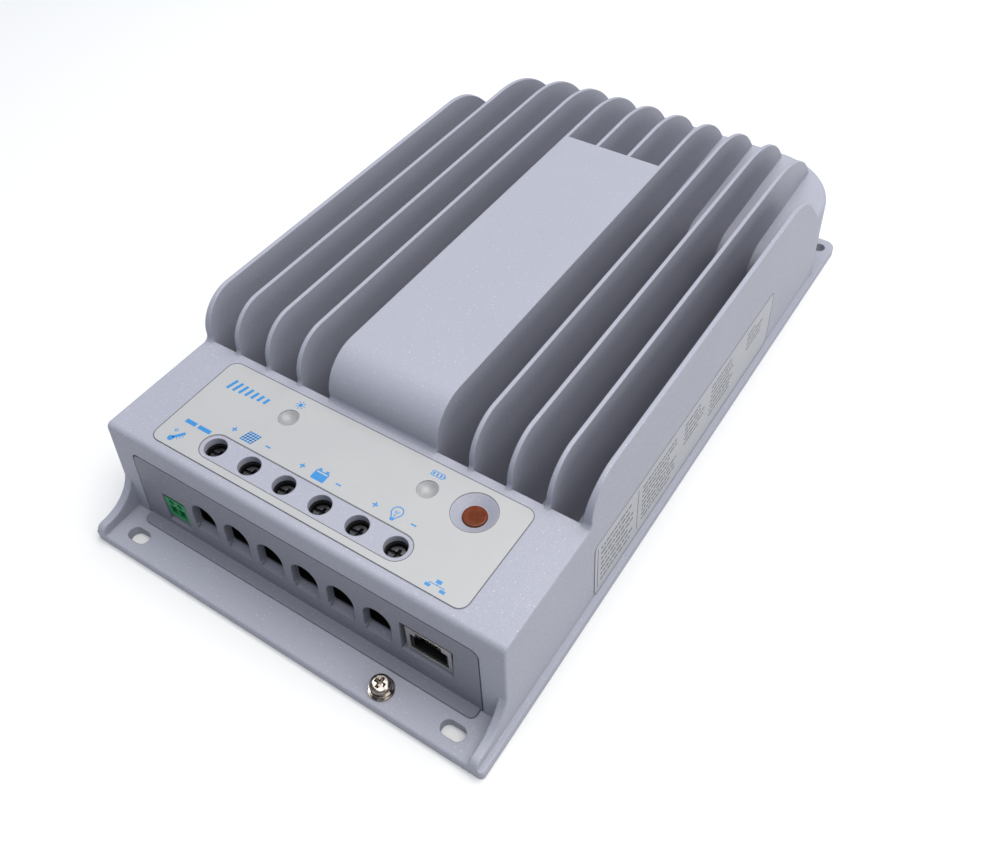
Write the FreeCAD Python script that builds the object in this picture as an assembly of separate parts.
"""Charge controller: finned die-cast housing, terminals, sockets, push button and inner boards.

The origin is the centre of the mounting plane. +Z points away from the wall that the
controller is screwed to, and -Y is the side where the cables enter. Sizes are millimetres.
"""
import FreeCAD, Part
import math
import os

# ---------------------------------------------------------------- driving dimensions
LENGTH = 280.7
WIDTH = 159.7
HEIGHT = 60.0

# Outer envelope above the flange: side walls and front wall lean inwards (casting draft).
SIDE_DRAFT = 0.04
SIDE_HALF_BASE = 78.2
FRONT_DRAFT = 0.059
FRONT_Y_BASE = -124.45
REAR_Y = 139.4
REAR_CORNER_R = 29.5

FLANGE_T = 3.8
FLANGE_FRONT_R = 1.5
FLANGE_REAR_R = 4.5
SKIRT_Z = 4.7
SKIRT_REAR_Y = 112.0
WEB_REAR_Y = -113.0
DECK_Z = 43.3
DECK_REAR_Y = -75.2
FLOOR_Z = 16.4
RISER_Y = 71.0
RISER_TOP_R = 11.0
RISER_FOOT_R = 4.0
REAR_TOP_Z = 36.6
REAR_TOP_RISE = 0.05

# Fins
FIN_PITCH = 13.7
FIN_TIP_T = 1.5
FIN_ROOT_T = 2.6
FIN_EDGE_R = 0.35
FIN_FRONT_R = 14.0
FIN_FOOT_R = 2.5
FIN_REAR_R = 50.0
FIN_REAR_CORNER_Y = 122.0
FIN_REAR_END_Y = 139.4
FIN_REAR_END_Z = 36.8
FIN_HIDDEN_Y = RISER_Y + 14
SHORTER_FIN_STEPS = {3.5: 1.0, 4.5: 6.0}
PLATEAU_REAR_Y = 75.0
PLATEAU_HALF = 1.5 * FIN_PITCH
OUTER_FIN_T = 1.7
OUTER_FIN_ROOT_X = 70.6
OUTER_FIN_REAR_Y = 112.6
OUTER_FIN_SLOPE_Y = 84.6
OUTER_FIN_SLOPE_Z = 32.0
OUTER_FIN_REAR_R = 31.0

# Front ears that brace the flange
EAR_T = 3.1
EAR_RIB_Z = 7.7
EAR_R = 14.5
EAR_TOP_Z = 38.0
EAR_EDGE_R = 0.6

# Hollow inside
WALL = 2.6
FRONT_ROOM_Y = -118.0
DECK_UNDER_Z = DECK_Z - WALL
CEILING_Z = 13.4
REAR_CEILING_Z = 34.0
REAR_ROOM_Y = RISER_Y + 9
POCKET_HALF = 18.9
POCKET_TOP_Z = 57.0
CAVITY_HALF = 73.0
# The transistors' screws end in blind holes, below the floor of the channels between the fins.
MOSFET_BORE_TOP_Z = FLOOR_Z - 0.6
MOSFET_SCREW_L = 3.9

# Mounting slots and earth screw
SLOT_X = 65.2
SLOT_Y = 133.7
SLOT_W = 5.2
SLOT_L = 8.5
REAR_HOLE_X = 74.2
EARTH_X = 39.5
EARTH_Y = -134.5
EARTH_SHANK_R = 2.0
EARTH_HEAD_R = 3.4
EARTH_HEAD_H = 2.4
FLAT_WASHER_R = 4.15
FLAT_WASHER_T = 0.8
SPRING_WASHER_R = 3.8
SPRING_WASHER_T = 1.1

# Terminals
POLES = 6
POLE_PITCH = 14.14
POLE_FIRST_X = -38.9
SCREW_Y = -110.4
ACCESS_R = 3.75

# Terminal cover
COVER_T = 3.0
COVER_GAP = 0.4
COVER_TOP_Z = 34.3
COVER_HALF_TOP = 67.5
COVER_HALF_BASE = 69.2
COVER_R = 3.0
COVER_FOOT_R = 2.3
FOOT_T = 1.0
FOOT_FRONT_Y = -128.3
ENTRY_W = 10.6
ENTRY_Z0 = 13.3
ENTRY_Z1 = 25.6
COM_X = 50.4
COM_W = 16.4
COM_SIDE_GAP = 2.1
COM_Z0 = 14.6
COM_Z1 = 26.5
COM_FRONT_Y = -123.0
SENSOR_X = -53.4
SENSOR_W = 9.6
SENSOR_FRONT_Y = -123.2
SENSOR_Z0 = 9.4
SENSOR_Z1 = 19.4

# Deck controls and labels
LABEL_HALF = 60.5
LABEL_Y0 = -118.2
LABEL_Y1 = -78.5
LABEL_T = 0.25
LABEL_R = 3.5
LABEL_CUT_HALF = 4.9
WINDOW_X = 27.5
WINDOW_Y = -88.8
WINDOW_R = 3.4
BUTTON_X = 44.3
BUTTON_Y = -88.4
BUTTON_R = 3.9
DISH_R = 7.05
DISH_FLOOR_Z = 41.2
BUTTON_TOP_Z = 41.9
BUTTON_BOSS_R = 9.6
BUTTON_BOSS_T = 2.4
RATING_Y0 = -73.3
RATING_Y1 = 64.5
RATING_Z0 = 4.9
RATING_Z1 = 31.0

# Inner boards
BOARD_Z0 = 6.8
BOARD_Z1 = 8.4
BOARD_HALF = 66.5
BOARD_REAR_Y = 118.0
PANEL_Z0 = 31.0
PANEL_Z1 = 32.6
PLATE_Z0 = 0.4
PLATE_Z1 = 1.6
BOARD_POST_R = 3.5
PLATE_COLUMN_R = 3.3
PANEL_POST_R = 3.0
FIT = 0.05


# ---------------------------------------------------------------- shape helpers
def vec(x, y, z):
    return FreeCAD.Vector(x, y, z)


def box(x0, x1, y0, y1, z0, z1):
    return Part.makeBox(x1 - x0, y1 - y0, z1 - z0, vec(x0, y0, z0))


def post(x, y, z0, z1, radius, top_radius=None):
    """Upright cylinder, or a cone when top_radius is given."""
    if top_radius is None:
        return Part.makeCylinder(radius, z1 - z0, vec(x, y, z0))
    return Part.makeCone(radius, top_radius, z1 - z0, vec(x, y, z0))


def rod_y(x, z, y0, y1, radius):
    return Part.makeCylinder(radius, y1 - y0, vec(x, y0, z), vec(0, 1, 0))


def rounded_wire(corners, place):
    """Closed wire through corners (a, b, radius); place turns (a, b) into a 3-D point."""
    count = len(corners)
    spans = []
    for i in range(count):
        a, b, radius = corners[i]
        here = vec(a, b, 0)
        back = vec(corners[i - 1][0], corners[i - 1][1], 0) - here
        ahead = vec(corners[(i + 1) % count][0], corners[(i + 1) % count][1], 0) - here
        back.normalize()
        ahead.normalize()
        if radius == 0:
            spans.append((here, here, here))
            continue
        half = back.getAngle(ahead) / 2
        reach = radius / math.tan(half)
        bisector = (back + ahead).normalize()
        middle = here + bisector * (radius / math.sin(half) - radius)
        spans.append((here + back * reach, middle, here + ahead * reach))
    edges = []
    for i in range(count):
        start, middle, end = [place(p.x, p.y) for p in spans[i]]
        if corners[i][2]:
            edges.append(Part.Arc(start, middle, end).toShape())
        following = place(spans[(i + 1) % count][0].x, spans[(i + 1) % count][0].y)
        if end.distanceToPoint(following) > 1e-6:
            edges.append(Part.LineSegment(end, following).toShape())
    return Part.Wire(edges)


def prism_x(corners, x0, x1):
    """Outline in (y, z), pushed from x0 to x1."""
    face = Part.Face(rounded_wire(corners, lambda a, b: vec(x0, a, b)))
    return face.extrude(vec(x1 - x0, 0, 0))


def prism_y(corners, y0, y1):
    """Outline in (x, z), pushed from y0 to y1."""
    face = Part.Face(rounded_wire(corners, lambda a, b: vec(a, y0, b)))
    return face.extrude(vec(0, y1 - y0, 0))


def prism_z(corners, z0, z1):
    """Outline in (x, y), pushed from z0 to z1."""
    face = Part.Face(rounded_wire(corners, lambda a, b: vec(a, b, z0)))
    return face.extrude(vec(0, 0, z1 - z0))


def tapered(low_corners, high_corners, z0, z1):
    """Solid between two outlines in (x, y) with the same corners."""
    low = rounded_wire(low_corners, lambda a, b: vec(a, b, z0))
    high = rounded_wire(high_corners, lambda a, b: vec(a, b, z1))
    return Part.makeLoft([low, high], True, True)


def rectangle(x0, x1, y0, y1, radius=0.0):
    return [(x0, y0, radius), (x1, y0, radius), (x1, y1, radius), (x0, y1, radius)]


def round_edges(solid, radius, chosen):
    """Fillet the edges for which chosen(bound box) is true."""
    return solid.makeFillet(radius, [e for e in solid.Edges if chosen(e.BoundBox)])


def fuse(shapes):
    return shapes[0].multiFuse(shapes[1:]).removeSplitter()


def cut(shape, tools):
    return shape.cut(Part.makeCompound(tools))


def mirrored(shape):
    return shape.mirror(vec(0, 0, 0), vec(1, 0, 0))


def both_sides(shape):
    return [shape, mirrored(shape)]


def save(name, shapes):
    """Write one node; several separate solids of one kind share a node."""
    shape = shapes[0] if len(shapes) == 1 else Part.makeCompound(shapes)
    shape.exportStep("parts/" + name + ".step")


def side_x(z):
    """Half width of the housing at height z."""
    return SIDE_HALF_BASE - SIDE_DRAFT * z


def front_y(z):
    """Front wall of the housing at height z."""
    return FRONT_Y_BASE + FRONT_DRAFT * z


def pole_x(index):
    return POLE_FIRST_X + index * POLE_PITCH


# ---------------------------------------------------------------- housing, outside
def flange_corners():
    half = WIDTH / 2
    front = -LENGTH / 2
    return [
        (-half, front, FLANGE_FRONT_R), (half, front, FLANGE_FRONT_R),
        (half, -front, FLANGE_REAR_R), (-half, -front, FLANGE_REAR_R),
    ]


def flange_plate():
    plate = prism_z(flange_corners(), 0, FLANGE_T)
    return round_edges(plate, 0.8, lambda b: b.ZMin > FLANGE_T - 0.01)


def side_skirt():
    """Sloped strip along the foot of the right side wall."""
    half = WIDTH / 2
    inner = side_x(SKIRT_Z) - 1
    corners = [
        (inner, 0, 0), (half, 0, 0), (half, FLANGE_T - 0.8, 0.8), (side_x(SKIRT_Z), SKIRT_Z, 0),
        (inner, SKIRT_Z, 0),
    ]
    strip = prism_y(corners, -LENGTH / 2, SKIRT_REAR_Y)
    return strip.common(prism_z(flange_corners(), 0, HEIGHT))


def plan(z, y0, y1, radius):
    x = side_x(z)
    return [(-x, y0, 0), (x, y0, 0), (x, y1, radius), (-x, y1, radius)]


def deck_block():
    low = rectangle(-side_x(0), side_x(0), front_y(0), DECK_REAR_Y)
    high = rectangle(-side_x(DECK_Z), side_x(DECK_Z), front_y(DECK_Z), DECK_REAR_Y)
    block = tapered(low, high, 0, DECK_Z)
    block = round_edges(block, 2.0, lambda b: b.ZMin > DECK_Z - 0.01 and b.YMax < DECK_REAR_Y - 1)
    return round_edges(block, 0.7, lambda b: b.ZMin > DECK_Z - 0.01 and b.YLength > 30 and b.XLength < 1)


def middle_block():
    low = rectangle(-side_x(0), side_x(0), DECK_REAR_Y - 1, RISER_Y + 6)
    high = rectangle(-side_x(FLOOR_Z), side_x(FLOOR_Z), DECK_REAR_Y - 1, RISER_Y + 6)
    return tapered(low, high, 0, FLOOR_Z)


def rear_top_z(y):
    """Top of the rear block, which rises slightly towards the rear."""
    return REAR_TOP_Z + REAR_TOP_RISE * (y - RISER_Y)


def rear_block():
    """Raised block with a rounded step facing the channels and rounded rear corners."""
    front = RISER_Y - 8
    behind = REAR_Y + 5
    low = plan(0, front, REAR_Y + 0.6, REAR_CORNER_R)
    high = plan(HEIGHT, front, REAR_Y - 0.3, REAR_CORNER_R)
    block = tapered(low, high, 0, HEIGHT)
    wedge = [(front, -1, 0), (behind, -1, 0), (behind, rear_top_z(behind), 0), (front, rear_top_z(front), 0)]
    block = block.common(prism_x(wedge, -90, 90))
    block = round_edges(block, 2.5, lambda b: b.ZMin > REAR_TOP_Z - 1 and b.YMax > REAR_Y - 40)
    behind_crest = RISER_Y + RISER_TOP_R + 1
    step = [
        (front - 10, -1, 0), (behind, -1, 0), (behind, HEIGHT, 0), (behind_crest, HEIGHT, 0),
        (behind_crest, rear_top_z(behind_crest), 0), (RISER_Y, REAR_TOP_Z, RISER_TOP_R),
        (RISER_Y, FLOOR_Z, RISER_FOOT_R), (front - 10, FLOOR_Z, 0),
    ]
    return block.common(prism_x(step, -90, 90))


def front_curve(floor_z):
    """Side view of the curve by which fins and plateau rise from the deck's rear edge."""
    inside = DECK_REAR_Y - 4
    return [
        (inside, floor_z, 0), (inside, DECK_Z - 0.3, 0), (DECK_REAR_Y, DECK_Z - 0.3, FIN_FOOT_R),
        (DECK_REAR_Y, HEIGHT, FIN_FRONT_R),
    ]


def rear_curve(floor_z, shortened):
    """Side view of the long curve by which a fin runs down to the rear block."""
    return [
        (FIN_REAR_CORNER_Y - shortened, HEIGHT, FIN_REAR_R), (FIN_REAR_END_Y - shortened, FIN_REAR_END_Z, 0),
        (FIN_HIDDEN_Y, FIN_REAR_END_Z, 0), (FIN_HIDDEN_Y, floor_z, 0),
    ]


def fin(centre_x, outline):
    """Fin with the given side view that grows thinner from root to tip."""
    root = FIN_ROOT_T / 2
    tip = FIN_TIP_T / 2
    section = [
        (centre_x - root, FLOOR_Z - 2, 0), (centre_x + root, FLOOR_Z - 2, 0),
        (centre_x + tip, HEIGHT, 0), (centre_x - tip, HEIGHT, 0),
    ]
    slab = prism_x(outline, centre_x - root, centre_x + root)
    return slab.common(prism_y(section, -100, 150))


def long_fin(step):
    floor_z = FLOOR_Z - 1.5
    outline = front_curve(floor_z) + rear_curve(floor_z, SHORTER_FIN_STEPS.get(step, 0.0))
    blade = fin(step * FIN_PITCH, outline)
    return round_edges(blade, FIN_EDGE_R, lambda b: b.XLength < 0.6 and b.ZMax > DECK_Z + 0.5)


def short_fin(step):
    """Fin that starts inside the plateau and runs back over the rear block."""
    floor_z = REAR_CEILING_Z + 1.5
    start = PLATEAU_REAR_Y - 12
    outline = [(start, floor_z, 0), (start, HEIGHT, 0)] + rear_curve(floor_z, 0.0)
    blade = fin(step * FIN_PITCH, outline)
    return round_edges(
        blade, FIN_EDGE_R, lambda b: b.XLength < 0.6 and b.ZMax > DECK_Z and b.YMax > start + 1)


def plateau():
    """Flush central block with the same front curve as the fins."""
    floor_z = FLOOR_Z - 1.5
    outline = front_curve(floor_z) + [(PLATEAU_REAR_Y, HEIGHT, 0), (PLATEAU_REAR_Y, floor_z, 0)]
    return prism_x(outline, -PLATEAU_HALF, PLATEAU_HALF)


def outer_fin():
    """Right side wall: a taller fin whose outer face leans with the draft."""
    outline = front_curve(1) + [
        (OUTER_FIN_SLOPE_Y, HEIGHT, OUTER_FIN_REAR_R),
        (OUTER_FIN_REAR_Y, OUTER_FIN_SLOPE_Z, OUTER_FIN_REAR_R), (OUTER_FIN_REAR_Y, 1, 0),
    ]
    slab = prism_x(outline, 60, 85)
    top_x = side_x(HEIGHT)
    section = [
        (OUTER_FIN_ROOT_X, 0, 0), (side_x(0), 0, 0), (top_x, HEIGHT, 0), (top_x - OUTER_FIN_T, HEIGHT, 0),
    ]
    wall = slab.common(prism_y(section, -100, 120))
    return round_edges(wall, FIN_EDGE_R, lambda b: b.ZMax > DECK_Z + 0.5 and b.XLength < 1.6 and b.ZMin > 12)


def ear():
    """Right front ear: a thin gusset that sweeps down to a rib along the flange's end."""
    front = -LENGTH / 2
    outline = [
        (front, 0, 0), (front, EAR_RIB_Z, 2.6), (front_y(EAR_RIB_Z) + 0.4, EAR_RIB_Z, EAR_R),
        (front_y(EAR_TOP_Z) + 0.4, EAR_TOP_Z, 0), (-110, EAR_TOP_Z, 0), (-110, 0, 0),
    ]
    slab = prism_x(outline, 70, 85)
    section = [
        (side_x(0) - EAR_T, 0, 0), (side_x(0), 0, 0),
        (side_x(HEIGHT), HEIGHT, 0), (side_x(HEIGHT) - EAR_T, HEIGHT, 0),
    ]
    gusset = slab.common(prism_y(section, -150, -100))
    return round_edges(
        gusset, EAR_EDGE_R, lambda b: b.YMax < -121 and b.ZMax > 5 and b.XLength < 1.5 and b.YLength > 0.5)


def housing_outside():
    shapes = [flange_plate(), deck_block(), middle_block(), rear_block(), plateau()]
    for half in (side_skirt(), outer_fin(), ear()):
        shapes += both_sides(half)
    for step in (1.5, 2.5, 3.5, 4.5):
        shapes += both_sides(long_fin(step))
    shapes += both_sides(short_fin(0.5))
    return fuse(shapes)


# ---------------------------------------------------------------- housing, inside
BOARD_POSTS = [(x, y) for x in (-62.0, 62.0) for y in (-84.0, -40.0, 20.0, 62.0)]
BOARD_POSTS += [(-54.0, 108.0), (54.0, 108.0)]
PLATE_COLUMNS = [(x, y) for x in (-70.4, 70.4) for y in (-104.0, -44.0, 20.0, 84.0)]
PLATE_COLUMNS += [(-24.0, 122.6), (24.0, 122.6)]
PANEL_POSTS = [(-36.0, -82.0), (8.0, -82.0), (54.5, -94.5)]
COVER_SCREWS = [(-63.4, -117.6), (63.4, -117.6)]
MOSFET_HOLES = [(x, y) for x in (-3.5 * FIN_PITCH, 3.5 * FIN_PITCH) for y in (-58.0, -34.0, -10.0, 14.0)]


def ceiling_at(y):
    if y < DECK_REAR_Y:
        return DECK_UNDER_Z
    if y < REAR_ROOM_Y:
        return CEILING_Z
    return REAR_CEILING_Z


def rear_room():
    corners = [
        (-CAVITY_HALF, REAR_ROOM_Y, 0), (CAVITY_HALF, REAR_ROOM_Y, 0),
        (CAVITY_HALF, REAR_Y - 3.5, REAR_CORNER_R - 3), (-CAVITY_HALF, REAR_Y - 3.5, REAR_CORNER_R - 3),
    ]
    return prism_z(corners, -1, REAR_CEILING_Z)


def hollow():
    """The air inside: front room under the deck, flat middle, pocket in the plateau, rear room."""
    rooms = [
        box(-CAVITY_HALF, CAVITY_HALF, FRONT_ROOM_Y, DECK_REAR_Y - WALL, FLANGE_T, DECK_UNDER_Z),
        box(-CAVITY_HALF, CAVITY_HALF, WEB_REAR_Y, DECK_REAR_Y - WALL, -1, DECK_UNDER_Z),
        box(-CAVITY_HALF, CAVITY_HALF, DECK_REAR_Y - WALL - 1, REAR_ROOM_Y + 1, -1, CEILING_Z),
        box(-POCKET_HALF, POCKET_HALF, DECK_REAR_Y + 4, PLATEAU_REAR_Y - 3, 0, POCKET_TOP_Z - 12),
        box(-POCKET_HALF, POCKET_HALF, DECK_REAR_Y + 14, PLATEAU_REAR_Y - 3, 0, POCKET_TOP_Z),
        rear_room(),
    ]
    return fuse(rooms)


def hollow_with_posts():
    """Leaves the screw posts standing by taking them out of the air."""
    posts = []
    for x, y in BOARD_POSTS:
        posts.append(post(x, y, BOARD_Z1, ceiling_at(y) + 1, BOARD_POST_R))
    for x, y in PLATE_COLUMNS:
        posts.append(post(x, y, PLATE_Z1, ceiling_at(y) + 1, PLATE_COLUMN_R))
    for x, y in PANEL_POSTS:
        posts.append(post(x, y, PANEL_Z1, DECK_UNDER_Z + 1, PANEL_POST_R))
    posts.append(post(BUTTON_X, BUTTON_Y, DISH_FLOOR_Z - BUTTON_BOSS_T, DECK_UNDER_Z + 1, BUTTON_BOSS_R))
    return cut(hollow(), posts)


def screw_bores():
    bores = [post(x, y, BOARD_Z1 - 1, BOARD_Z1 + 6, 1.3) for x, y in BOARD_POSTS if ceiling_at(y) > 20]
    bores += [post(x, y, BOARD_Z1 - 1, FLOOR_Z - 1.5, 1.3) for x, y in BOARD_POSTS if ceiling_at(y) < 20]
    bores += [post(x, y, PLATE_Z1 - 1, PLATE_Z1 + 8, 1.3) for x, y in PLATE_COLUMNS]
    bores += [post(x, y, PANEL_Z1 - 1, PANEL_Z1 + 6, 1.1) for x, y in PANEL_POSTS]
    bores += [post(x, y, CEILING_Z - 1, MOSFET_BORE_TOP_Z, 1.55) for x, y in MOSFET_HOLES]
    bores += [post(x, y, -1, FLANGE_T + 1, 1.7) for x, y in COVER_SCREWS]
    bores += [post(x, y, -0.01, 1.5, 3.1, 1.6) for x, y in COVER_SCREWS]
    bores.append(post(EARTH_X, EARTH_Y, -1, FLANGE_T + 1, EARTH_BORE_R))
    return bores


def slot(x, y):
    end_r = SLOT_W / 2
    outline = rectangle(x - SLOT_L / 2, x + SLOT_L / 2, y - end_r, y + end_r, end_r - 0.001)
    return prism_z(outline, -1, FLANGE_T + 3)


def cover_outline(grow):
    """Front view of the terminal cover: a trapezium with rounded upper corners."""
    base_half = COVER_HALF_BASE + grow
    top_half = COVER_HALF_TOP + grow
    return [
        (-base_half, FLANGE_T, 0), (base_half, FLANGE_T, 0),
        (top_half, COVER_TOP_Z + grow, COVER_R), (-top_half, COVER_TOP_Z + grow, COVER_R),
    ]


def leaning_slab(depth_front, depth_rear, z0, z1):
    """Slab parallel to the front wall, between two depths behind it."""
    corners = [
        (front_y(z0) + depth_front, z0, 0), (front_y(z0) + depth_rear, z0, 0),
        (front_y(z1) + depth_rear, z1, 0), (front_y(z1) + depth_front, z1, 0),
    ]
    return prism_x(corners, -90, 90)


def cover_seat():
    """Pocket that the cover drops into, and the window behind it."""
    pocket = prism_y(cover_outline(COVER_GAP), -135, -100).common(leaning_slab(-2, COVER_T + FIT, -1, 50))
    window_half = COVER_HALF_TOP - 0.7
    window = box(-window_half, window_half, -135, -110, FLANGE_T, COVER_TOP_Z - 2)
    return [pocket, window]


def deck_holes():
    holes = [post(pole_x(i), SCREW_Y, DECK_UNDER_Z - 1, DECK_Z + 1, ACCESS_R) for i in range(POLES)]
    for x in (-WINDOW_X, WINDOW_X):
        holes.append(post(x, WINDOW_Y, DECK_UNDER_Z - 1, DECK_Z + 1, WINDOW_R))
    holes.append(post(BUTTON_X, BUTTON_Y, DISH_FLOOR_Z, DECK_Z + 0.001, BUTTON_R + 0.4, DISH_R))
    holes.append(post(BUTTON_X, BUTTON_Y, DISH_FLOOR_Z - 4, DECK_Z, BUTTON_R + FIT))
    return holes


def under_opening(grow, depth):
    """Outline of the opening under the housing, grown sideways and kept off the rear edge."""
    half = CAVITY_HALF + grow
    front = WEB_REAR_Y - 1 + depth / 2
    rear = REAR_Y - 2 - depth
    corner_r = REAR_CORNER_R - 2
    return [(-half, front, 1), (half, front, 1), (half, rear, corner_r), (-half, rear, corner_r)]


def plate_recess():
    return prism_z(under_opening(1.5, 0), -1, PLATE_Z1)


def heatsink_housing():
    tools = [hollow_with_posts(), plate_recess()]
    tools += cover_seat()
    tools += deck_holes()
    tools += screw_bores()
    tools += [slot(x, -SLOT_Y) for x in (-SLOT_X, SLOT_X)]
    tools += [post(x, SLOT_Y, -1, FLANGE_T + 3, SLOT_W / 2) for x in (-REAR_HOLE_X, REAR_HOLE_X)]
    body = housing_outside()
    for tool in tools:
        body = body.cut(tool)
    return body


# ---------------------------------------------------------------- bottom plate and screws
def bottom_plate():
    plate = prism_z(under_opening(1.2, 0.3), PLATE_Z0, PLATE_Z1)
    return cut(plate, [post(x, y, PLATE_Z0, PLATE_Z1, 2.6, 1.4) for x, y in PLATE_COLUMNS])


def cross_recess(x, y, z_top, depth, span):
    """Phillips recess: two crossed wedges, opened from z_top downwards."""
    half = span / 2
    arms = []
    for turn in (0, 90):
        arm = box(-half, half, -half * 0.28, half * 0.28, -depth, 0.5)
        arm.rotate(vec(0, 0, 0), vec(0, 0, 1), turn)
        arms.append(arm)
    shape = fuse(arms).common(Part.makeCone(half * 0.35, half * 1.1, depth + 0.5, vec(0, 0, -depth)))
    shape.translate(vec(x, y, z_top))
    return shape


def downward(shape, z):
    """Turns a screw over so that its head faces down."""
    return shape.mirror(vec(0, 0, z), vec(0, 0, 1))


def countersunk_screw(x, y, z_head, head_r, shank_r, length):
    """Flat head at z_head facing down, shank pointing up."""
    head = post(x, y, z_head, z_head + head_r - shank_r, head_r, shank_r)
    shank = post(x, y, z_head, z_head + length, shank_r)
    recess = downward(cross_recess(x, y, z_head, 1.0, head_r * 1.2), z_head)
    return fuse([head, shank]).cut(recess)


def pan_screw_up(x, y, z_seat, head_r, head_h, shank_r, length):
    """Pan head below z_seat, shank pointing up from it."""
    head = post(x, y, z_seat - head_h, z_seat, head_r)
    head = round_edges(head, head_h * 0.45, lambda b: b.ZMax < z_seat - head_h + 0.01)
    shank = post(x, y, z_seat - 0.1, z_seat + length, shank_r)
    recess = downward(cross_recess(x, y, z_seat - head_h, head_h * 0.6, head_r * 1.2), z_seat - head_h)
    return fuse([head, shank]).cut(recess)


# ---------------------------------------------------------------- terminal cover
def cable_entry(x):
    """D-shaped opening with a domed top, and a sill that slopes outwards."""
    half = ENTRY_W / 2
    outline = [
        (x - half, ENTRY_Z0, 0.8), (x + half, ENTRY_Z0, 0.8), (x + half, ENTRY_Z1, half - 0.01),
        (x - half, ENTRY_Z1, half - 0.01),
    ]
    return prism_y(outline, -130, -110)


def sloped_sill(x0, x1, z):
    """Wedge that bevels the lower edge of an opening."""
    y = front_y(z)
    return prism_x([(y - 1, z - 1.9, 0), (y + COVER_T - 0.4, z + 0.1, 0), (y - 1, z + 0.1, 0)], x0, x1)


def terminal_cover():
    plate = prism_y(cover_outline(0), -135, -100).common(leaning_slab(0, COVER_T, -1, 50))
    foot_rear = front_y(FLANGE_T) + COVER_T
    half = COVER_HALF_BASE - 0.6
    foot_corners = [
        (-half, FOOT_FRONT_Y, COVER_FOOT_R), (half, FOOT_FRONT_Y, COVER_FOOT_R),
        (half, foot_rear, 0), (-half, foot_rear, 0),
    ]
    foot = prism_z(foot_corners, FLANGE_T, FLANGE_T + FOOT_T)
    foot = round_edges(foot, 0.5, lambda b: b.ZMin > FLANGE_T + FOOT_T - 0.01 and b.YMax < foot_rear - 0.1)
    bosses = [box(x - 3, x + 3, y - 4.5, y + 3, FLANGE_T, 12) for x, y in COVER_SCREWS]
    body = fuse([plate, foot] + bosses)
    half_entry = ENTRY_W / 2
    tools = []
    for i in range(POLES):
        x = pole_x(i) - 0.4
        tools += [cable_entry(x), sloped_sill(x - half_entry + 0.6, x + half_entry - 0.6, ENTRY_Z0)]
    com_x0 = COM_X - COM_W / 2 - COM_SIDE_GAP
    com_x1 = COM_X + COM_W / 2 + 0.5
    com_hole = rectangle(com_x0, com_x1, COM_Z0 - 0.6, COM_Z1 + 0.5, 0.8)
    tools += [prism_y(com_hole, -130, -110), sloped_sill(com_x0, com_x1, COM_Z0 - 0.6)]
    sensor_x0 = SENSOR_X - SENSOR_W / 2 - 0.4
    sensor_x1 = SENSOR_X + SENSOR_W / 2 + 0.4
    sill_z = SENSOR_Z0 - 1
    sensor_hole = rectangle(sensor_x0, sensor_x1, sill_z, SENSOR_Z1 + 1.2, 0.6)
    tools += [prism_y(sensor_hole, -130, -110), sloped_sill(sensor_x0, sensor_x1, sill_z)]
    tools += [post(x, y, FLANGE_T - 1, 11, 1.3) for x, y in COVER_SCREWS]
    return cut(body, tools)


# ---------------------------------------------------------------- labels
def label_overlay():
    sheet = prism_z(rectangle(-LABEL_HALF, LABEL_HALF, LABEL_Y0, LABEL_Y1, LABEL_R), DECK_Z, DECK_Z + LABEL_T)
    reach = LABEL_CUT_HALF + 0.2
    strip = rectangle(
        pole_x(0) - reach, pole_x(POLES - 1) + reach, SCREW_Y - LABEL_CUT_HALF, SCREW_Y + LABEL_CUT_HALF,
        LABEL_CUT_HALF - 0.05)
    holes = [prism_z(strip, DECK_Z - 1, DECK_Z + 1)]
    holes.append(post(BUTTON_X, BUTTON_Y, DECK_Z - 1, DECK_Z + 1, DISH_R + 0.2))
    for x in (-WINDOW_X, WINDOW_X):
        holes.append(post(x, WINDOW_Y, DECK_Z - 1, DECK_Z + 1, WINDOW_R + 0.1))
    return cut(sheet, holes)


def rating_label():
    """Film on the right wall, following its lean."""
    outline = rectangle(RATING_Y0, RATING_Y1, RATING_Z0, RATING_Z1, 2.5)
    block = prism_x(outline, 70, 85)
    film = 0.15
    section = [
        (side_x(0), 0, 0), (side_x(0) + film, 0, 0),
        (side_x(HEIGHT) + film, HEIGHT, 0), (side_x(HEIGHT), HEIGHT, 0),
    ]
    return block.common(prism_y(section, -100, 100))


# ---------------------------------------------------------------- terminals
BLOCK_Z1 = 40.4
BLOCK_FRONT_Y = FRONT_ROOM_Y + 0.3
BLOCK_REAR_Y = -97.4
APRON_FRONT_Y = -120.3
CHAMBER_Z0 = 12.2
CHAMBER_Z1 = 35.8
BAR_Z0 = 23.8
BAR_Z1 = 25.4
CAGE_Z0 = 12.4
CAGE_Z1 = 28.3
SCREW_R = 2.5
HEAD_R = 3.25
HEAD_Z0 = 37.05
HEAD_Z1 = 39.4


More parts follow.
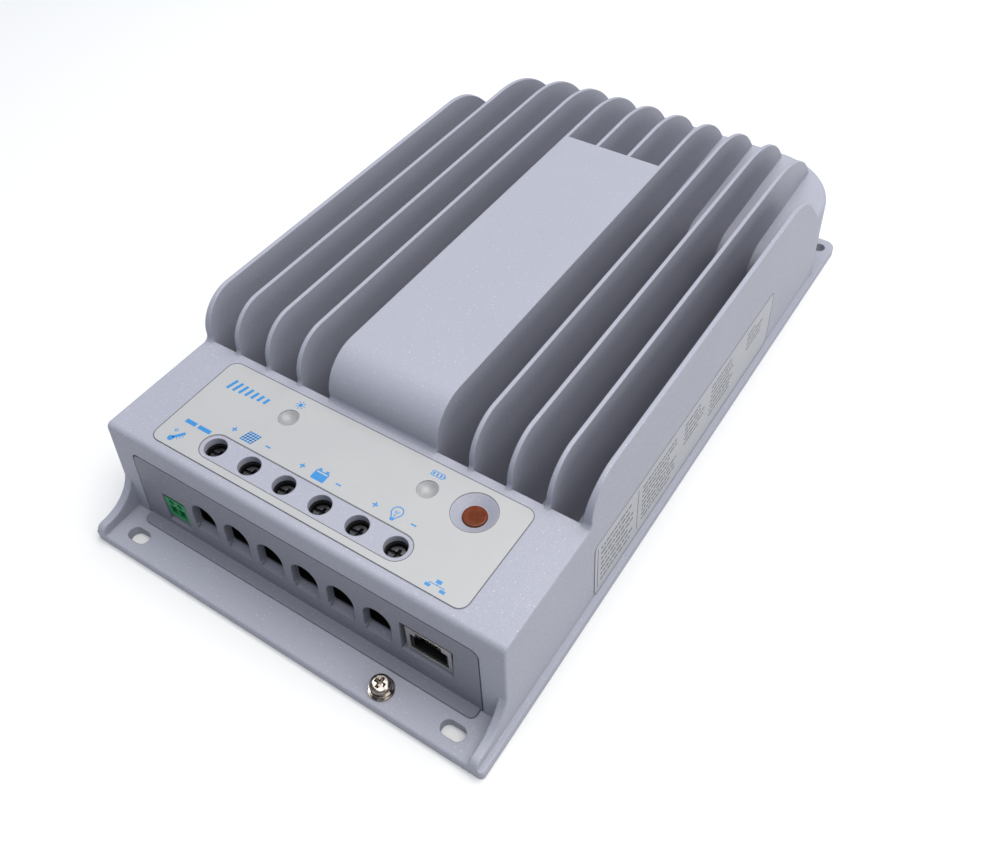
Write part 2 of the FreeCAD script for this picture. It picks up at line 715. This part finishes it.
def terminal_block():
    x0 = pole_x(0) - POLE_PITCH / 2
    x1 = pole_x(POLES - 1) + POLE_PITCH / 2
    body = box(x0, x1, BLOCK_FRONT_Y, BLOCK_REAR_Y, BOARD_Z1, BLOCK_Z1)
    apron = box(x0, x1, APRON_FRONT_Y, BLOCK_FRONT_Y + 1, BOARD_Z1, CHAMBER_Z0)
    body = fuse([body, apron])
    tools = []
    for i in range(POLES):
        x = pole_x(i)
        tools.append(box(x - 5.3, x + 5.3, BLOCK_FRONT_Y - 1, -99.5, CHAMBER_Z0, CHAMBER_Z1))
        tools.append(box(x - 3.45, x + 3.45, -101.45, -99.5, BOARD_Z1 - 1, CHAMBER_Z0 + 1))
        tools.append(post(x, SCREW_Y, CHAMBER_Z1 - 1, HEAD_Z0, SCREW_R + FIT))
        tools.append(post(x, SCREW_Y, HEAD_Z0 - FIT, BLOCK_Z1 + 1, HEAD_R + FIT))
    for i in range(1, POLES):
        x = pole_x(i) - POLE_PITCH / 2
        tools.append(box(x - 0.3, x + 0.3, BLOCK_FRONT_Y - 1, BLOCK_REAR_Y + 1, BLOCK_Z1 - 1.2, BLOCK_Z1 + 1))
    return cut(body, tools)


def terminal_busbar(x):
    """Contact bar over the wire, bent down through the board."""
    bar = box(x - 3.4, x + 3.4, -118.5, -99.6, BAR_Z0, BAR_Z1)
    leg = box(x - 3.4, x + 3.4, -101.4, -99.6, 5.2, BAR_Z1)
    return fuse([bar, leg])


def terminal_screw(x):
    """Clamping screw: its tip bears on the busbar and its head sits in the well."""
    shank = post(x, SCREW_Y, BAR_Z1 + FIT, HEAD_Z0 + 0.2, SCREW_R)
    head = post(x, SCREW_Y, HEAD_Z0, HEAD_Z1, HEAD_R)
    head = round_edges(head, 0.5, lambda b: b.ZMin > HEAD_Z1 - 0.01)
    slot_cut = box(x - 4, x + 4, SCREW_Y - 0.45, SCREW_Y + 0.45, HEAD_Z1 - 1.1, HEAD_Z1 + 1)
    return fuse([shank, head]).cut(slot_cut).cut(cross_recess(x, SCREW_Y, HEAD_Z1, 1.7, 4.2))


def terminal_clamp(x):
    """Rising cage: threaded top plate, two side walls and a ribbed bottom plate."""
    cage = box(x - 4.9, x + 4.9, SCREW_Y - 4.5, SCREW_Y + 4.5, CAGE_Z0, CAGE_Z1)
    window = box(x - 3.7, x + 3.7, SCREW_Y - 5, SCREW_Y + 5, CAGE_Z0 + 1.5, CAGE_Z1 - 2.4)
    bore = post(x, SCREW_Y, CAGE_Z1 - 4, CAGE_Z1 + 1, SCREW_R + FIT)
    ribs = [rod_y(x + dx, CAGE_Z0 + 1.5, SCREW_Y - 4.4, SCREW_Y + 4.4, 0.3) for dx in (-2, 0, 2)]
    return fuse([cage.cut(window).cut(bore)] + ribs)


# ---------------------------------------------------------------- sockets
COM_CAVITY_Z0 = COM_Z0 + 1.9
COM_SHEET = 0.4
# Steps of the plug opening: half width, then bottom and top above COM_CAVITY_Z0.
SHELL_STEPS = ((6.8, -0.7, 7.2), (4.6, 0.0, 9.2))
CAVITY_STEPS = ((5.9, 0.0, 6.6), (3.1, 0.0, 8.2), (1.6, 0.0, 9.2))


def com_opening(steps, y0, y1):
    z = COM_CAVITY_Z0
    return [box(COM_X - half, COM_X + half, y0, y1, z + low, z + high) for half, low, high in steps]


def com_socket_shell():
    """Folded metal shield round the network socket with a stepped window for the plug."""
    half = COM_W / 2
    rear = COM_FRONT_Y + 15.5
    shell = box(COM_X - half, COM_X + half, COM_FRONT_Y, rear, COM_Z0, COM_Z1)
    inside = box(
        COM_X - half + COM_SHEET, COM_X + half - COM_SHEET, COM_FRONT_Y + COM_SHEET, rear - COM_SHEET,
        COM_Z0 + COM_SHEET, COM_Z1 - COM_SHEET)
    return cut(shell, [inside] + com_opening(SHELL_STEPS, COM_FRONT_Y - 1, COM_FRONT_Y + 1))


def com_socket_insert():
    """Plastic body with the stepped cavity: wide for the plug, narrow above it for the latch."""
    half = COM_W / 2 - COM_SHEET - 0.1
    front = COM_FRONT_Y + COM_SHEET + 0.1
    body = box(COM_X - half, COM_X + half, front, COM_FRONT_Y + 15.0, COM_Z0 + 0.5, COM_Z1 - 0.5)
    return cut(body, com_opening(CAVITY_STEPS, front - 1, front + 12))


def com_socket_foot():
    return box(COM_X - 7.4, COM_X + 7.4, COM_FRONT_Y + 4.2, COM_FRONT_Y + 15, BOARD_Z1, COM_Z0)


def com_socket_contacts():
    contacts = []
    z = COM_CAVITY_Z0
    for i in range(8):
        x = COM_X - 3.57 + 1.02 * i
        y0 = COM_FRONT_Y + 3.2
        y1 = COM_FRONT_Y + 12
        outline = [
            (y0, z + 0.02, 0), (y1, z + 0.02, 0), (y1, z + 0.42, 0), (y1 - 2.4, z + 1.8, 0.6),
            (y0, z + 0.42, 0),
        ]
        contacts.append(prism_x(outline, x - 0.2, x + 0.2))
    return contacts


def sensor_socket():
    """Green two-pole plug socket for the remote temperature probe."""
    half = SENSOR_W / 2
    body = box(SENSOR_X - half, SENSOR_X + half, SENSOR_FRONT_Y, SENSOR_FRONT_Y + 10, SENSOR_Z0, SENSOR_Z1)
    leg_half = half - 0.8
    leg_y0 = SENSOR_FRONT_Y + 4.4
    stand = box(SENSOR_X - leg_half, SENSOR_X + leg_half, leg_y0, SENSOR_FRONT_Y + 10, BOARD_Z1, SENSOR_Z0)
    tools = []
    for dx in (-1.9, 1.9):
        x = SENSOR_X + dx
        y0 = SENSOR_FRONT_Y - 1
        tools.append(box(x - 1.55, x + 1.55, y0, SENSOR_FRONT_Y + 8, SENSOR_Z0 + 1.6, SENSOR_Z0 + 6.2))
        tools.append(rod_y(x, SENSOR_Z1 - 1.9, y0, SENSOR_FRONT_Y + 5, 1.2))
    return cut(fuse([body, stand]), tools)


def sensor_pins():
    z = SENSOR_Z0 + 3.9
    y0 = SENSOR_FRONT_Y + 2
    y1 = SENSOR_FRONT_Y + 7.95
    return [box(SENSOR_X + dx - 0.5, SENSOR_X + dx + 0.5, y0, y1, z - 0.5, z + 0.5) for dx in (-1.9, 1.9)]


# ---------------------------------------------------------------- indicator windows and button
BOWL_R = 4.2
BOWL_DEPTH = 1.4


def led_window(x):
    """Light pipe: lens with a bowl-shaped face in the deck, stem down to its light source."""
    face_z = DECK_Z - 0.1
    lens = post(x, WINDOW_Y, DECK_UNDER_Z - 0.5, face_z, WINDOW_R - 0.05)
    bowl = Part.makeSphere(BOWL_R, vec(x, WINDOW_Y, face_z - BOWL_DEPTH + BOWL_R))
    collar = post(x, WINDOW_Y, DECK_UNDER_Z - 1.4, DECK_UNDER_Z - FIT, WINDOW_R + 0.9)
    stem = post(x, WINDOW_Y, PANEL_Z1 + 1.5, DECK_UNDER_Z - 1.3, 2.0)
    return fuse([lens, collar, stem]).cut(bowl)


def indicator_led(x):
    return fuse([box(x - 1.6, x + 1.6, WINDOW_Y - 1.4, WINDOW_Y + 1.4, PANEL_Z1, PANEL_Z1 + 0.9),
                 post(x, WINDOW_Y, PANEL_Z1 + 0.8, PANEL_Z1 + 1.4, 1.1)])


CAP_FLANGE_T = 1.0
CAP_FLANGE_Z1 = DISH_FLOOR_Z - BUTTON_BOSS_T - 0.02
PLUNGER_R = 1.75


def button_cap():
    """Translucent push button with a slightly domed top and a retaining flange."""
    cap = post(BUTTON_X, BUTTON_Y, CAP_FLANGE_Z1 - CAP_FLANGE_T, BUTTON_TOP_Z, BUTTON_R)
    cap = round_edges(cap, 0.5, lambda b: b.ZMin > BUTTON_TOP_Z - 0.01)
    flange = post(BUTTON_X, BUTTON_Y, CAP_FLANGE_Z1 - CAP_FLANGE_T, CAP_FLANGE_Z1, BUTTON_R + 1.0)
    return fuse([cap, flange])


SWITCH_Z1 = 36.0
PLUNGER_Z0 = 34.6


def switch_body():
    body = box(BUTTON_X - 3, BUTTON_X + 3, BUTTON_Y - 3, BUTTON_Y + 3, PANEL_Z1, SWITCH_Z1)
    return body.cut(post(BUTTON_X, BUTTON_Y, PLUNGER_Z0 - 1.0, SWITCH_Z1 + 1, PLUNGER_R + FIT))


def switch_plunger():
    return post(BUTTON_X, BUTTON_Y, PLUNGER_Z0, CAP_FLANGE_Z1 - CAP_FLANGE_T, PLUNGER_R)


# ---------------------------------------------------------------- earth screw
WASHER_Z = FLANGE_T + FLAT_WASHER_T
SPRING_Z = WASHER_Z + SPRING_WASHER_T
EARTH_BORE_R = EARTH_SHANK_R + FIT


def earth_flat_washer():
    ring = post(EARTH_X, EARTH_Y, FLANGE_T, WASHER_Z, FLAT_WASHER_R)
    return ring.cut(post(EARTH_X, EARTH_Y, FLANGE_T - 1, WASHER_Z + 1, EARTH_BORE_R))


def earth_spring_washer():
    """Split ring: one narrow slanted gap."""
    ring = post(EARTH_X, EARTH_Y, WASHER_Z, SPRING_Z, SPRING_WASHER_R)
    ring = ring.cut(post(EARTH_X, EARTH_Y, WASHER_Z - 1, SPRING_Z + 1, EARTH_BORE_R))
    below = WASHER_Z - 0.1
    above = SPRING_Z + 0.1
    gap = [
        (EARTH_Y - 0.7, below, 0), (EARTH_Y - 0.1, below, 0), (EARTH_Y + 0.7, above, 0),
        (EARTH_Y + 0.1, above, 0),
    ]
    return ring.cut(prism_x(gap, EARTH_X, EARTH_X + 6))


def earth_screw():
    seat = SPRING_Z + 0.02
    top = seat + EARTH_HEAD_H
    head = post(EARTH_X, EARTH_Y, seat, top, EARTH_HEAD_R)
    head = round_edges(head, 1.1, lambda b: b.ZMin > top - 0.01)
    shank = post(EARTH_X, EARTH_Y, 0.6, seat + 0.1, EARTH_SHANK_R)
    return fuse([head, shank]).cut(cross_recess(EARTH_X, EARTH_Y, top, 1.7, 4.2))


# ---------------------------------------------------------------- boards and power parts
def circuit_board():
    corners = [
        (-59.5, -119.0, 1), (59.5, -119.0, 1), (59.5, WEB_REAR_Y, 0), (BOARD_HALF, WEB_REAR_Y, 1),
        (BOARD_HALF, BOARD_REAR_Y, 14), (-BOARD_HALF, BOARD_REAR_Y, 14),
        (-BOARD_HALF, WEB_REAR_Y, 1), (-59.5, WEB_REAR_Y, 0),
    ]
    board = prism_z(corners, BOARD_Z0, BOARD_Z1)
    holes = [post(x, y, BOARD_Z0 - 1, BOARD_Z1 + 1, 1.6) for x, y in BOARD_POSTS]
    holes += [post(x, y, BOARD_Z0 - 1, BOARD_Z1 + 1, 3.5) for x, y in MOSFET_HOLES]
    for i in range(POLES):
        holes.append(box(pole_x(i) - 3.5, pole_x(i) + 3.5, -101.5, -99.5, BOARD_Z0 - 1, BOARD_Z1 + 1))
    return cut(board, holes)


def insulating_sheet():
    corners = rectangle(-BOARD_HALF, BOARD_HALF, WEB_REAR_Y + 2, BOARD_REAR_Y, 4)
    sheet = prism_z(corners, PLATE_Z1, PLATE_Z1 + 0.4)
    return cut(sheet, [post(x, y, PLATE_Z1 - 1, PLATE_Z1 + 2, 3.6) for x, y in PLATE_COLUMNS])


def panel_board():
    corners = rectangle(-41.0, 57.9, -96.8, -78.6, 1.5)
    board = prism_z(corners, PANEL_Z0, PANEL_Z1)
    return cut(board, [post(x, y, PANEL_Z0 - 1, PANEL_Z1 + 1, 1.3) for x, y in PANEL_POSTS])


PIN_PITCH = 2.54
PIN_W = 0.64


def panel_link_header():
    """Tall board-to-board header: a strip on the lower board, with pins up to the upper one."""
    strip_z1 = BOARD_Z1 + 9
    strip = box(16, 42, -83.0, -80.5, BOARD_Z1, strip_z1)
    pins = []
    for i in range(10):
        x = 17.2 + PIN_PITCH * i
        pins.append(box(x, x + PIN_W, -82.07, -82.07 + PIN_W, strip_z1 - 0.1, PANEL_Z0))
    return fuse([strip] + pins)


CORE_YS = (-40.0, 2.0, 44.0)
CORE_Z = BOARD_Z1 + 19.4
CORE_R = 16.2
CORE_HOLE_R = 8.6
CORE_T = 13.0
WIRE_R = 0.8
CAN_Y = 92.0
CAN_R = 8.0
CAN_H = 24.0


def inductor_core(y):
    ring = rod_y(0, CORE_Z, y - CORE_T / 2, y + CORE_T / 2, CORE_R)
    return ring.cut(rod_y(0, CORE_Z, y - CORE_T, y + CORE_T, CORE_HOLE_R))


def winding_turn(y, angle):
    """One closed turn of wire round the core's section."""
    gap = WIRE_R + 0.15
    inner = CORE_HOLE_R - gap
    outer = CORE_R + gap
    half = CORE_T / 2 + gap
    corners = [(inner, -half, 1.0), (outer, -half, 1.0), (outer, half, 1.0), (inner, half, 1.0)]
    path = rounded_wire(corners, lambda a, b: vec(a, b, 0))
    start = path.Edges[1].valueAt(path.Edges[1].FirstParameter)
    tangent = path.Edges[1].tangentAt(path.Edges[1].FirstParameter)
    section = Part.Wire([Part.Circle(start, tangent, WIRE_R).toShape()])
    turn = Part.Wire(path.Edges[1:] + path.Edges[:1]).makePipeShell([section], True, True)
    turn.rotate(vec(0, 0, 0), vec(0, 1, 0), angle)
    turn.translate(vec(0, y, CORE_Z))
    return turn


def inductor_windings():
    turns = []
    for y in CORE_YS:
        turns += [winding_turn(y, 18 + 24 * i) for i in range(15) if abs(18 + 24 * i - 90) > 20]
    return turns


def can_capacitor(x):
    """Electrolytic can with a pressed groove near its foot."""
    can = post(x, CAN_Y, BOARD_Z1, BOARD_Z1 + CAN_H, CAN_R)
    can = round_edges(can, 0.7, lambda b: b.ZMin > BOARD_Z1 + CAN_H - 0.01)
    groove = Part.makeTorus(CAN_R + 0.5, 0.9, vec(x, CAN_Y, BOARD_Z1 + 3.2))
    return can.cut(groove)


def mosfet(x, y):
    """Power transistor lying flat: moulded body, metal tab up, bent leads."""
    side = 1 if x > 0 else -1
    top = CEILING_Z - 0.4
    body = box(-5, 5, 3.6, 12.9, top - 4.4, top)
    tab = box(-5, 5, -3.2, 3.7, top - 1.3, top)
    leads = [box(dx - 0.4, dx + 0.4, 12.8, 15.4, top - 2.9, top - 2.3) for dx in (-2.54, 0, 2.54)]
    leads += [box(dx - 0.4, dx + 0.4, 14.8, 15.4, BOARD_Z1, top - 2.3) for dx in (-2.54, 0, 2.54)]
    shape = fuse([body, tab] + leads).cut(post(0, 0, 0, 30, 1.7))
    shape.rotate(vec(0, 0, 0), vec(0, 0, 1), 90 * side)
    shape.translate(vec(x, y, 0))
    return shape


def thermal_pad(x, y):
    side = 1 if x > 0 else -1
    pad = box(-5.6, 5.6, -3.6, 13.2, CEILING_Z - 0.4, CEILING_Z).cut(post(0, 0, 0, 30, 1.7))
    pad.rotate(vec(0, 0, 0), vec(0, 0, 1), 90 * side)
    pad.translate(vec(x, y, 0))
    return pad


def current_shunt(x, y):
    under = BOARD_Z1 + 2.4
    top = BOARD_Z1 + 3.8
    outline = [
        (x - 8, BOARD_Z1, 0), (x - 6.6, BOARD_Z1, 0), (x - 6.6, under, 0.6), (x + 6.6, under, 0.6),
        (x + 6.6, BOARD_Z1, 0), (x + 8, BOARD_Z1, 0), (x + 8, top, 1.6), (x - 8, top, 1.6),
    ]
    return prism_y(outline, y - 2.5, y + 2.5)


def control_chip():
    body = box(-5, 5, -5, 5, BOARD_Z1 + 0.1, BOARD_Z1 + 1.6)
    leads = []
    for turn in (0, 90, 180, 270):
        for i in range(8):
            lead = box(-3.65 + i * 0.98, -3.25 + i * 0.98, 4.9, 6.2, BOARD_Z1, BOARD_Z1 + 0.5)
            lead.rotate(vec(0, 0, 0), vec(0, 0, 1), turn)
            leads.append(lead)
    chip = fuse([body] + leads)
    chip.translate(vec(-6, -88, 0))
    return chip


# ---------------------------------------------------------------- write every node
def main():
    os.makedirs("parts", exist_ok=True)
    save("heatsink_housing", [heatsink_housing()])
    save("bottom_plate", [bottom_plate()])
    save("bottom_screws", [countersunk_screw(x, y, PLATE_Z0, 2.45, 1.25, 7.5) for x, y in PLATE_COLUMNS])
    save("terminal_cover", [terminal_cover()])
    save("cover_screws", [countersunk_screw(x, y, 0.1, 2.9, 1.25, 10.0) for x, y in COVER_SCREWS])
    save("label_overlay", [label_overlay()])
    save("rating_label", [rating_label()])
    save("terminal_block", [terminal_block()])
    save("terminal_busbars", [terminal_busbar(pole_x(i)) for i in range(POLES)])
    for i in range(POLES):
        save("terminal_screw_" + str(i + 1), [terminal_screw(pole_x(i))])
        save("terminal_clamp_" + str(i + 1), [terminal_clamp(pole_x(i))])
    save("com_socket_shell", [com_socket_shell()])
    save("com_socket_insert", [com_socket_insert()])
    save("com_socket_foot", [com_socket_foot()])
    save("com_socket_contacts", com_socket_contacts())
    save("sensor_socket", [sensor_socket()])
    save("sensor_pins", sensor_pins())
    save("led_window_pv", [led_window(-WINDOW_X)])
    save("led_window_batt", [led_window(WINDOW_X)])
    save("indicator_leds", [indicator_led(x) for x in (-WINDOW_X, WINDOW_X)])
    save("button_cap", [button_cap()])
    save("switch_body", [switch_body()])
    save("switch_plunger", [switch_plunger()])
    save("earth_screw", [earth_screw()])
    save("earth_spring_washer", [earth_spring_washer()])
    save("earth_flat_washer", [earth_flat_washer()])
    save("circuit_board", [circuit_board()])
    save("board_screws", [pan_screw_up(x, y, BOARD_Z0, 2.8, 2.2, 1.25, 5.0) for x, y in BOARD_POSTS])
    save("insulating_sheet", [insulating_sheet()])
    save("panel_board", [panel_board()])
    save("panel_board_screws", [pan_screw_up(x, y, PANEL_Z0, 2.3, 1.8, 1.05, 5.0) for x, y in PANEL_POSTS])
    save("panel_link_header", [panel_link_header()])
    save("inductor_cores", [inductor_core(y) for y in CORE_YS])
    save("inductor_windings", inductor_windings())
    save("input_capacitors", [can_capacitor(x) for x in (-45.0, -27.0, -9.0)])
    save("output_capacitors", [can_capacitor(x) for x in (9.0, 27.0, 45.0)])
    save("mosfets", [mosfet(x, y) for x, y in MOSFET_HOLES])
    save("thermal_pads", [thermal_pad(x, y) for x, y in MOSFET_HOLES])
    save("mosfet_screws", [pan_screw_up(x, y, CEILING_Z - 1.7, 2.9, 2.2, 1.5, MOSFET_SCREW_L)
                           for x, y in MOSFET_HOLES])
    save("current_shunts", [current_shunt(x, 56.0) for x in (-44.0, 44.0)])
    save("control_chip", [control_chip()])


main()
